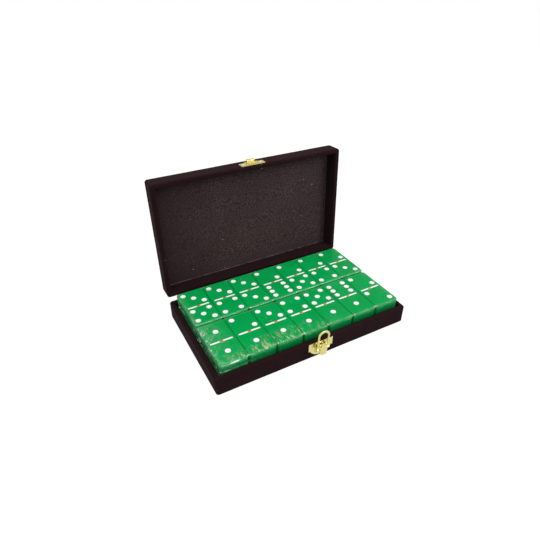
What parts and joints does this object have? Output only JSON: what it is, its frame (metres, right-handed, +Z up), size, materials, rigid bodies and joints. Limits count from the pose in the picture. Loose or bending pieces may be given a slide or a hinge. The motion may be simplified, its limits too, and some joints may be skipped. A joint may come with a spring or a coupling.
{
  "type": "domino storage box",
  "caption": "Velvet-covered hinged box with a brass toggle clasp, standing open, with wrapped dominoes packed in two rows.",
  "frame": {"origin": "middle of the base's underside", "axes": "+X to the right along the box's length, +Y to the hinged back, +Z up, clasp on -Y"},
  "size_m": [0.191, 0.1419, 0.1353],
  "materials": {
    "velvet": "dark plum-brown velvet with short pile",
    "lid_card": "speckled grey-brown flocked card",
    "floor_card": "dark flocked card",
    "board": "bare thin board, hidden under the covering",
    "spinner": "dull reddish brass pins",
    "brass": "polished brass-plated sheet, lightly worn",
    "domino": "glossy emerald green with white painted pips",
    "pip_paint": "white enamel in the pips and dividing grooves",
    "film": "clear crinkled shrink film"
  },
  "bodies": {
    "base": {"base_front_board": "board", "base_back_board": "board", "base_left_board": "board", "base_right_board": "board", "base_bottom_panel": "board", "base_underside_sheet": "velvet", "base_covering": "velvet", "base_floor_card": "floor_card", "hinge_base_leaves": "brass", "hinge_pins": "brass", "base_nails": "brass", "clasp_plate": "brass", "clasp_lever_pin": "brass"},
    "lid": {"lid_front_board": "board", "lid_back_board": "board", "lid_left_board": "board", "lid_right_board": "board", "lid_top_panel": "board", "lid_covering": "velvet", "lid_card": "lid_card", "hinge_lid_leaves": "brass", "lid_nails": "brass", "catch_plate": "brass"},
    "lever": {"clasp_lever": "brass"},
    "bail_pin": {"clasp_bail_pin": "brass"},
    "bail": {"clasp_bail": "brass"},
    "front_pack": {"domino_1_1": "domino", "domino_1_2": "domino", "domino_1_3": "domino", "domino_1_4": "domino", "domino_1_5": "domino", "domino_1_6": "domino", "domino_2_2": "domino", "domino_0_0": "domino", "domino_0_1": "domino", "domino_0_2": "domino", "domino_0_3": "domino", "domino_0_4": "domino", "domino_0_5": "domino", "domino_0_6": "domino", "front_pack_film": "film", "front_pack_spinners": "spinner", "front_pack_paint": "pip_paint"},
    "back_pack": {"domino_3_5": "domino", "domino_3_4": "domino", "domino_3_3": "domino", "domino_2_6": "domino", "domino_2_5": "domino", "domino_2_4": "domino", "domino_2_3": "domino", "domino_3_6": "domino", "domino_4_4": "domino", "domino_4_5": "domino", "domino_4_6": "domino", "domino_5_5": "domino", "domino_5_6": "domino", "domino_6_6": "domino", "back_pack_film": "film", "back_pack_spinners": "spinner", "back_pack_paint": "pip_paint"}
  },
  "joints": [
    {"name": "lid_hinge", "type": "hinge", "parent": "base", "child": "lid", "pos_m": [0, 0.05825, 0.018], "axis": [1, 0, 0], "range_deg": [0, 92.5]},
    {"name": "lever_hinge", "type": "hinge", "parent": "base", "child": "lever", "pos_m": [0.001, -0.05975, 0.015], "axis": [-1, 0, 0], "range_deg": [0, 150]},
    {"name": "bail_pin_turn", "type": "hinge", "parent": "lever", "child": "bail_pin", "pos_m": [0.001, -0.05975, 0.0108], "axis": [1, 0, 0], "range_deg": [0, 150]},
    {"name": "bail_swing", "type": "hinge", "parent": "bail_pin", "child": "bail", "pos_m": [0.001, -0.05975, 0.0108], "axis": [1, 0, 0], "range_deg": [-17, 115]},
    {"name": "back_pack_lift", "type": "slide", "parent": "base", "child": "back_pack", "axis": [0, 0, -1], "range_m": [-0.06, 0]},
    {"name": "front_pack_lift", "type": "slide", "parent": "base", "child": "front_pack", "axis": [0, 0, -1], "range_m": [-0.06, 0]}
  ],
  "couplings": [
    {"joint": "bail_pin_turn", "follows": "lever_hinge", "ratio": 1}
  ]
}
